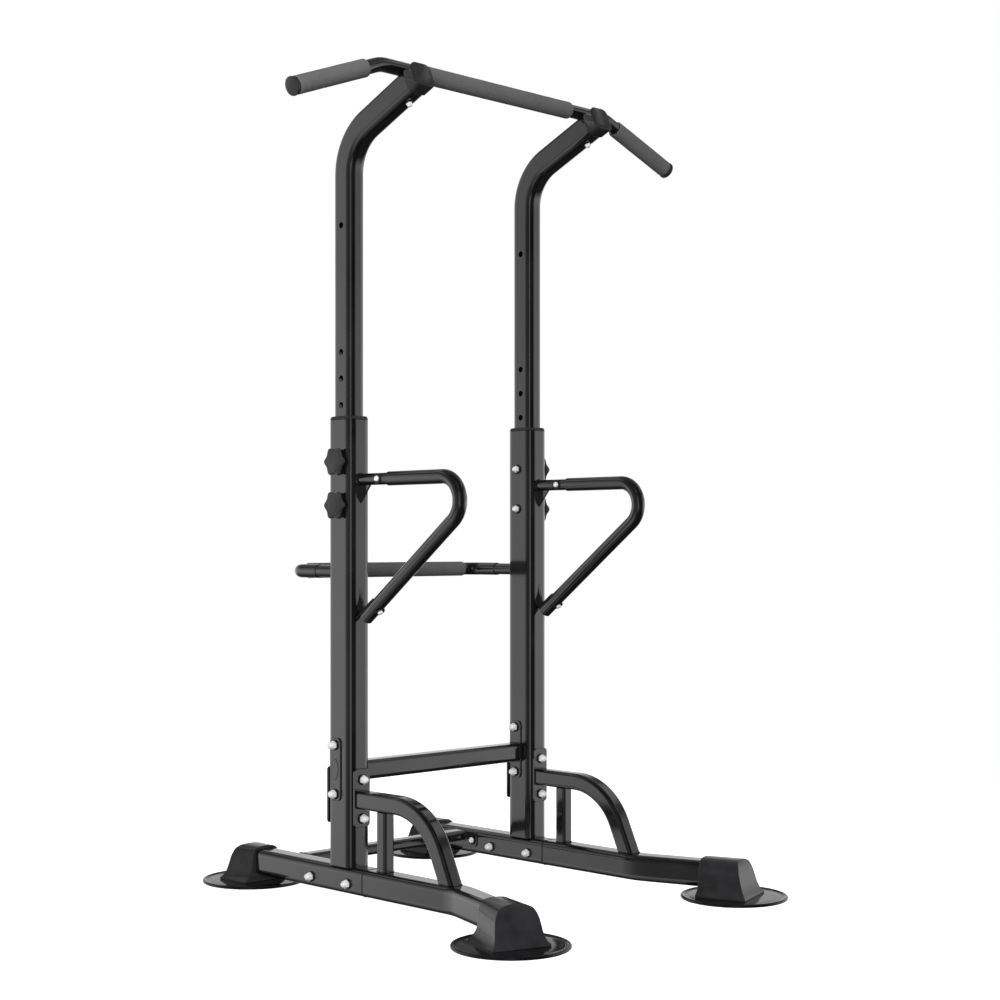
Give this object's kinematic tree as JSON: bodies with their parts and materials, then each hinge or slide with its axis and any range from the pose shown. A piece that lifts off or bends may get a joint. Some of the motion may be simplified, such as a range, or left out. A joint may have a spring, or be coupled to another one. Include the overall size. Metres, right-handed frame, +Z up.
{
  "type": "power tower",
  "caption": "Free-standing power tower: padded pull-up bar on height-adjustable tubes, dip handles, rear hand bar and a splayed base on round rubber feet",
  "frame": {"origin": "on the floor, centred on the footprint of the four feet", "axes": "+Z up, -Y towards the user standing in front, X across the tower along the pull-up bar"},
  "size_m": [1.2226, 1.1922, 1.872],
  "materials": {
    "black_paint": "glossy black powder coat",
    "black_plastic": "satin black moulded plastic",
    "knob_plastic": "fine-grained black plastic",
    "black_rubber": "smooth black rubber",
    "grip_foam": "matte closed-cell foam",
    "bright_steel": "bright plated steel"
  },
  "bodies": {
    "base": {"upright_right": "black_paint", "upright_left": "black_paint", "rear_rail_right": "black_paint", "rear_rail_left": "black_paint", "front_rail_right": "black_paint", "front_rail_left": "black_paint", "crossbar_washer_plate_right": "black_paint", "crossbar_washer_plate_left": "black_paint", "arch_brace_right": "black_paint", "arch_brace_left": "black_paint", "brace_post_right": "black_paint", "brace_post_left": "black_paint", "brace_front_plate_right": "black_paint", "brace_front_plate_left": "black_paint", "brace_back_plate_right": "black_paint", "brace_back_plate_left": "black_paint", "rear_bar_stub_right": "black_paint", "rear_bar_stub_left": "black_paint", "dip_handle_right": "black_paint", "dip_handle_left": "black_paint", "dip_upper_stub_right": "black_paint", "dip_upper_stub_left": "black_paint", "dip_lower_bracket_right": "black_paint", "dip_lower_bracket_left": "black_paint", "rear_cross_tube": "black_paint", "crossbar": "black_paint", "rear_bar": "black_paint", "guide_bushing_right": "black_plastic", "guide_bushing_left": "black_plastic", "rail_insert_right": "black_plastic", "rail_insert_left": "black_plastic", "front_foot_cap_right": "black_plastic", "front_foot_cap_left": "black_plastic", "rear_foot_cap_right": "black_plastic", "rear_foot_cap_left": "black_plastic", "front_foot_disc_right": "black_rubber", "front_foot_disc_left": "black_rubber", "rear_foot_disc_right": "black_rubber", "rear_foot_disc_left": "black_rubber", "rear_bar_grip": "grip_foam"},
    "upper_frame": {"upper_tube_right": "black_paint", "upper_tube_left": "black_paint", "bar_saddle_right": "black_plastic", "bar_saddle_left": "black_plastic", "saddle_bolt_right": "bright_steel", "saddle_bolt_left": "bright_steel", "pullup_bar": "black_paint", "middle_bar_grip": "grip_foam", "end_bar_grip_right": "grip_foam", "end_bar_grip_left": "grip_foam", "bar_end_cap_right": "black_plastic", "bar_end_cap_left": "black_plastic"},
    "top_pin_right": {"top_lock_pin_right": "bright_steel"},
    "top_knob_right": {"top_lock_knob_right": "knob_plastic"},
    "top_pin_left": {"top_lock_pin_left": "bright_steel"},
    "top_knob_left": {"top_lock_knob_left": "knob_plastic"},
    "low_pin_right": {"low_lock_pin_right": "bright_steel"},
    "low_knob_right": {"low_lock_knob_right": "knob_plastic"},
    "low_pin_left": {"low_lock_pin_left": "bright_steel"},
    "low_knob_left": {"low_lock_knob_left": "knob_plastic"}
  },
  "joints": [
    {"name": "height_slide", "type": "slide", "parent": "base", "child": "upper_frame", "axis": [0, 0, 1], "range_m": [-0.1885, 0.24]},
    {"name": "top_screw_travel_right", "type": "slide", "parent": "base", "child": "top_pin_right", "axis": [-1, 0, 0], "range_m": [0, 0.006]},
    {"name": "top_knob_turn_right", "type": "hinge", "parent": "top_pin_right", "child": "top_knob_right", "pos_m": [0.289, 0.1194, 0.9965], "axis": [-1, 0, 0], "range_deg": [0, 1440]},
    {"name": "top_screw_travel_left", "type": "slide", "parent": "base", "child": "top_pin_left", "axis": [1, 0, 0], "range_m": [0, 0.006]},
    {"name": "top_knob_turn_left", "type": "hinge", "parent": "top_pin_left", "child": "top_knob_left", "pos_m": [-0.289, 0.1194, 0.9965], "axis": [1, 0, 0], "range_deg": [0, 1440]},
    {"name": "low_screw_travel_right", "type": "slide", "parent": "base", "child": "low_pin_right", "axis": [-1, 0, 0], "range_m": [0, 0.006]},
    {"name": "low_knob_turn_right", "type": "hinge", "parent": "low_pin_right", "child": "low_knob_right", "pos_m": [0.289, 0.1194, 0.898], "axis": [-1, 0, 0], "range_deg": [0, 1440]},
    {"name": "low_screw_travel_left", "type": "slide", "parent": "base", "child": "low_pin_left", "axis": [1, 0, 0], "range_m": [0, 0.006]},
    {"name": "low_knob_turn_left", "type": "hinge", "parent": "low_pin_left", "child": "low_knob_left", "pos_m": [-0.289, 0.1194, 0.898], "axis": [1, 0, 0], "range_deg": [0, 1440]}
  ],
  "couplings": [
    {"joint": "top_screw_travel_right", "follows": "top_knob_turn_right", "m_per_rad": 0.00023873},
    {"joint": "top_screw_travel_left", "follows": "top_knob_turn_left", "m_per_rad": 0.00023873},
    {"joint": "low_screw_travel_right", "follows": "low_knob_turn_right", "m_per_rad": 0.00023873},
    {"joint": "low_screw_travel_left", "follows": "low_knob_turn_left", "m_per_rad": 0.00023873}
  ]
}
